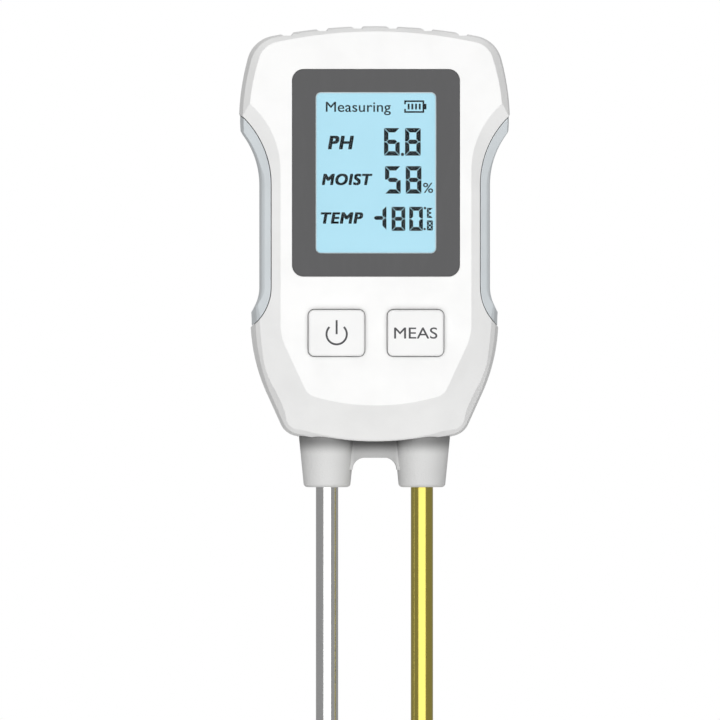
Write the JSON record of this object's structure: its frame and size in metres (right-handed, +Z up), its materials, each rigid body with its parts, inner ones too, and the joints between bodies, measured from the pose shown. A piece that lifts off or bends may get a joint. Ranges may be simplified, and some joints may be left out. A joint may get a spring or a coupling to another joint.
{
  "type": "soil moisture meter",
  "caption": "Handheld digital soil moisture meter with a backlit display, two keys and a pair of steel and brass ground probes.",
  "frame": {"origin": "midway between the two probe axes, on the plane where the probes leave the collars", "axes": "+Z up along the probes to the head, -Z towards the tips, front towards -Y, +X to the right seen from the front"},
  "size_m": [0.061, 0.0286, 0.3037],
  "materials": {
    "shell_white": "fine satin moulding texture",
    "grip_grey": "soft satin",
    "key_white": "satin",
    "collar_grey": "fine sparked texture",
    "bezel_grey": "satin",
    "window_clear": "polished",
    "lcd_blue": "backlit liquid crystal",
    "lcd_glass": "polished",
    "light_guide": "polished acrylic",
    "led_body": "moulded",
    "holder_white": "moulded",
    "zebra_rubber": "silicone",
    "board_green": "solder mask",
    "chip_black": "moulded",
    "component_tan": "fired",
    "switch_black": "moulded",
    "cell_sleeve": "printed sleeve",
    "plated_steel": "nickel plate",
    "probe_steel": "drawn and polished",
    "probe_brass": "drawn and polished",
    "screw_zinc": "zinc plate",
    "seal_black": "moulded",
    "bead_epoxy": "epoxy",
    "wire_red": "insulated wire",
    "wire_black": "insulated wire",
    "wire_white": "insulated wire"
  },
  "bodies": {
    "case": {"front_cover": "shell_white", "rear_cover": "shell_white", "left_grip": "grip_grey", "right_grip": "grip_grey", "display_bezel": "bezel_grey", "display_window": "window_clear", "lcd_front_glass": "lcd_blue", "lcd_rear_glass": "lcd_glass", "backlight_panel": "light_guide", "backlight_led": "led_body", "zebra_strip": "zebra_rubber", "lcd_holder": "holder_white", "main_board": "board_green", "microcontroller": "chip_black", "board_components": "component_tan", "power_switch": "switch_black", "measure_switch": "switch_black", "battery_1": "cell_sleeve", "battery_2": "cell_sleeve", "battery_springs": "plated_steel", "battery_bridge": "plated_steel", "positive_contact": "plated_steel", "negative_contact": "plated_steel", "probe_holder": "collar_grey", "silver_probe": "probe_steel", "brass_probe": "probe_brass", "probe_seals": "seal_black", "ring_terminals": "plated_steel", "probe_nuts": "screw_zinc", "thermistor": "bead_epoxy", "silver_probe_lead": "wire_white", "brass_probe_lead": "wire_red", "thermistor_lead": "wire_black", "positive_lead": "wire_red", "negative_lead": "wire_black", "case_screws": "screw_zinc", "board_screws": "screw_zinc"},
    "power_key": {"power_button": "key_white", "power_plunger": "switch_black"},
    "measure_key": {"measure_button": "key_white", "measure_plunger": "switch_black"},
    "door": {"battery_door": "shell_white"}
  },
  "joints": [
    {"name": "power_button_press", "type": "slide", "parent": "case", "child": "power_key", "axis": [0, 1, 0], "range_m": [0, 0.0005], "stiffness_N_per_m": 1500, "springref_m": -0.0003},
    {"name": "measure_button_press", "type": "slide", "parent": "case", "child": "measure_key", "axis": [0, 1, 0], "range_m": [0, 0.0005], "stiffness_N_per_m": 1500, "springref_m": -0.0003},
    {"name": "battery_door_hinge", "type": "hinge", "parent": "case", "child": "door", "pos_m": [0, 0.012, 0.0426], "axis": [-1, 0, 0], "range_deg": [0, 95]}
  ]
}
